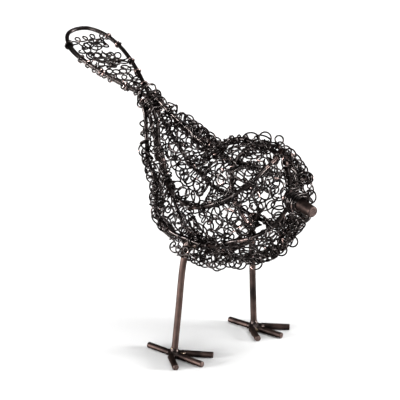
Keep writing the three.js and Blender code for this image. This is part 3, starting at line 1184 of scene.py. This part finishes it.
for index, strand in enumerate(TAIL_STRANDS):
    rng = draws(TAIL_CURL_DRAWS + index)
    places = []
    for reach, across in strand.guides:
        places.append(tail_point(reach, across, rng.uniform(-TAIL_CURL_LIFT, TAIL_CURL_LIFT)))
    path = spline(places, GUIDE_STEP)
    flat = np.broadcast_to(strand.side * TAIL_UPWARD, path.shape)
    wire = curl(path, flat, rng, strand.size, strand.pitch, (-strand.lean, strand.lean))
    tail_strands.append(thin(wire, rng))
thin_piece("tail_curls", tail_strands)


# A thin wire laid along the outside of the tail's right edge, and turns round both edges

tail_outline = even_steps(frame_paths["tail_loop"], GUIDE_STEP)
tail_reach = (tail_outline - place(NECK)) @ TAIL_BACKWARD
tail_across = (tail_outline - place(NECK)) @ TAIL_SIDEWAYS


def tail_distance(reach, side):
    """Distance along the tail wire to a given reach on one side."""
    on_side = np.where(np.sign(tail_across) == side, np.abs(tail_reach - reach), np.inf)
    return int(np.argmin(on_side)) * GUIDE_STEP


def outside_tail(offset):
    """The tail's outline, moved outwards in the tail's own plane."""
    return tail_outline + offset * unit(np.cross(TAIL_UPWARD, tangents(tail_outline)))


TAIL_LINING = (4.0, 93.0)
TAIL_TURNS = (1.1, 1.5)
TAIL_PITCH = (1.6, 2.8)
TAIL_LOOSE = 0.6
TAIL_BINDINGS = {
    RIGHT: (91.5, 69.7, 60.4, 52.5, 45.5, 41.5, 34.0, 21.0, 17.5, 9.0, 5.5),
    LEFT: (86.8, 72.3, 47.3, 31.7, 13.6),
}
rng = draws(TAIL_LINING_DRAWS)
first, last = (int(tail_distance(reach, RIGHT) / GUIDE_STEP) for reach in TAIL_LINING)
bindings = [thin(outside_tail(BIND_RADIUS)[first:last], rng)]
lined_edge = outside_tail(THIN_WIRE / 2)
for side, reaches in TAIL_BINDINGS.items():
    edge = lined_edge if side == RIGHT else tail_outline
    radius = BIND_RADIUS + (THIN_WIRE / 2 if side == RIGHT else 0.0)
    for index, reach in enumerate(reaches):
        rng = draws(TAIL_TURN_DRAWS + side, index)
        middle = tail_distance(reach, side)
        turns = rng.uniform(*TAIL_TURNS)
        pitch = rng.uniform(*TAIL_PITCH)
        start = middle - turns * pitch / 2
        wound = around(edge, start, start + turns * pitch, pitch, radius, rng, TAIL_LOOSE)
        # Copper over half of each turn: partly wear, partly a painted highlight
        bindings.append(thin(wound, rng, WORN_TAIL_HIGHLIGHT))
thin_piece("tail_bindings", bindings)


# The neck, where the frame wires and the tail's tang are bound together

NECK_BEHIND = 5.0
NECK_AHEAD = 20.0
NECK_TURN = (2.0, 14.0)
NECK_TURN_PITCH = 4.0
NECK_TURN_RADIUS = NECK.radius + 2.4
NECK_TURN_LOOSE = 2.0
NECK_WINDINGS = (((4.6, 7.0), (4.0, 7.0)), ((7.0, 10.0), (7.0, 11.0)))
neck_front = place(NECK) + NECK_AHEAD * unit(place(RUMP) - place(NECK))
neck_axis = even_steps(np.array((tail_point(NECK_BEHIND, 0.0), place(NECK), neck_front)), GUIDE_STEP)
neck_outward = np.broadcast_to(UP, neck_axis.shape)
neck_turns = []
for index, (size, pitch) in enumerate(NECK_WINDINGS):
    rng = draws(NECK_DRAWS + index)
    wound = wrap(neck_axis, neck_outward, rng, size, pitch, 0.0)
    neck_turns.append(thin(wound, rng, WORN_NECK))
rng = draws(NECK_TURN_DRAWS)
wound = around(neck_axis, *NECK_TURN, NECK_TURN_PITCH, NECK_TURN_RADIUS, rng, NECK_TURN_LOOSE)
neck_turns.append(thin(wound, rng, WORN_NECK_TURN))
thin_piece("neck_bindings", neck_turns)


# Floor, light and camera

FLOOR_HALF_M = 6.0
FLOOR_WHITE = (0.505, 0.505, 0.505, 1.0)
FLOOR_ROUGHNESS = 0.9


def plain_floor():
    mesh = bpy.data.meshes.new("floor")
    half = FLOOR_HALF_M
    corners = [(-half, -half, 0), (half, -half, 0), (half, half, 0), (-half, half, 0)]
    mesh.from_pydata(corners, [], [(0, 1, 2, 3)])
    material = bpy.data.materials.new("floor_white")
    material.use_nodes = True
    shader = material.node_tree.nodes["Principled BSDF"]
    shader.inputs["Base Color"].default_value = FLOOR_WHITE
    shader.inputs["Roughness"].default_value = FLOOR_ROUGHNESS
    mesh.materials.append(material)
    floor = bpy.data.objects.new("floor", mesh)
    bpy.context.scene.collection.objects.link(floor)


def way_to(azimuth, elevation):
    """The way from the bird to a place round it; azimuth 0 is the bird's right, 90 its front."""
    turn, rise = math.radians(azimuth), math.radians(elevation)
    return Vector((math.sin(turn) * math.cos(rise), -math.cos(turn) * math.cos(rise), math.sin(rise)))


def soft_light(name, azimuth, elevation, width_deg, strength):
    """A wide even light from one side, so that the floor is as bright far off as near."""
    light = bpy.data.lights.new(name, "SUN")
    light.energy = strength
    light.angle = math.radians(width_deg)
    lamp = bpy.data.objects.new(name, light)
    lamp.rotation_euler = (-way_to(azimuth, elevation)).to_track_quat("-Z", "Y").to_euler()
    bpy.context.scene.collection.objects.link(lamp)


# The backdrop is white to look at, and lights the bird at this share of that
ROOM_LIGHT = 0.35
Lamp = namedtuple("Lamp", "name azimuth elevation width_deg strength")
LAMPS = (
    Lamp("overhead", 129.0, 76.0, 60.0, 2.3),
    Lamp("top", 129.0, 66.0, 24.0, 1.0),
    Lamp("left_strip", -25.0, 7.0, 24.0, 12.0),
    Lamp("front_strip", 20.0, 7.0, 24.0, 4.0),
    Lamp("right_strip", 130.0, 7.0, 24.0, 12.0),
)


def studio():
    world = bpy.data.worlds.new("studio")
    world.use_nodes = True
    tree = world.node_tree
    backdrop = tree.nodes["Background"]
    backdrop.inputs["Color"].default_value = (1.0, 1.0, 1.0, 1.0)
    seen = tree.nodes.new("ShaderNodeLightPath").outputs["Is Camera Ray"]
    strength = tree.nodes.new("ShaderNodeMath")
    strength.operation = "MAXIMUM"
    strength.inputs[1].default_value = ROOM_LIGHT
    link_all(tree, (seen, strength.inputs[0]), (strength.outputs[0], backdrop.inputs["Strength"]))
    bpy.context.scene.world = world
    for lamp in LAMPS:
        soft_light(*lamp)
    bpy.context.scene.view_settings.view_transform = "Standard"


CAMERA_AZIMUTH = 47.0
CAMERA_ELEVATION = 20.0
CAMERA_DISTANCE = 1200.0
CAMERA_AIM = np.array((-11.2, -8.7, 125.0))
CAMERA_LENS = 133.3
CAMERA_SENSOR = 36.0


def photo_camera():
    data = bpy.data.cameras.new("camera")
    data.lens = CAMERA_LENS
    data.sensor_width = CAMERA_SENSOR
    camera = bpy.data.objects.new("camera", data)
    direction = way_to(CAMERA_AZIMUTH, CAMERA_ELEVATION)
    aim = Vector((CAMERA_AIM + BOX_SHIFT) * MM)
    camera.location = aim + direction * CAMERA_DISTANCE * MM
    camera.rotation_euler = (-direction).to_track_quat("-Z", "Y").to_euler()
    bpy.context.scene.collection.objects.link(camera)
    bpy.context.scene.camera = camera


plain_floor()
studio()
photo_camera()
